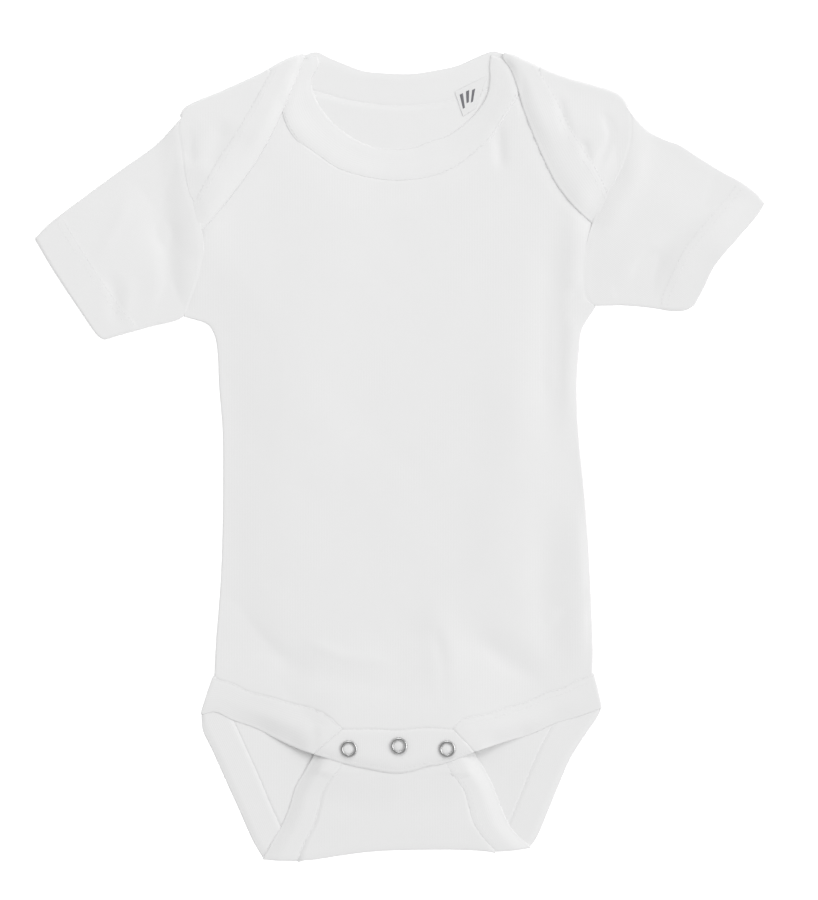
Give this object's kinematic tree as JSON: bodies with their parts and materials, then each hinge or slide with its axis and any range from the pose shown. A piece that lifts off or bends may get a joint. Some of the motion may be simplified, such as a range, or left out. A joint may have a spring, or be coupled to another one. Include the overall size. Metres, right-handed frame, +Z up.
{
  "type": "baby bodysuit",
  "caption": "Short sleeved baby bodysuit in white cotton knit, laid flat, with lapped shoulders, a bound neck and bound leg openings, and ring snaps at the crotch.",
  "frame": {"origin": "centre of the outline, on the surface that the garment lies on", "axes": "+X across the garment, +Y from the crotch up to the neck, +Z up from the surface, out of the front"},
  "size_m": [0.4089, 0.4536, 0.0084],
  "materials": {
    "knit": "fine white cotton interlock, matt",
    "binding": "white cotton rib binding, coverstitched",
    "label": "woven satin tape",
    "snap_metal": "nickel plated, satin"
  },
  "bodies": {
    "root": {"front_panel": "knit", "back_panel": "knit", "sleeve_left": "knit", "sleeve_right": "knit", "front_neck_band": "binding", "back_neck_band": "binding", "leg_band_left": "binding", "leg_band_right": "binding", "front_snap_band": "binding", "size_label": "label", "snap_ring_left": "snap_metal", "snap_ring_middle": "snap_metal", "snap_ring_right": "snap_metal", "snap_stud_left": "snap_metal", "snap_stud_middle": "snap_metal", "snap_stud_right": "snap_metal"}
  },
  "joints": []
}
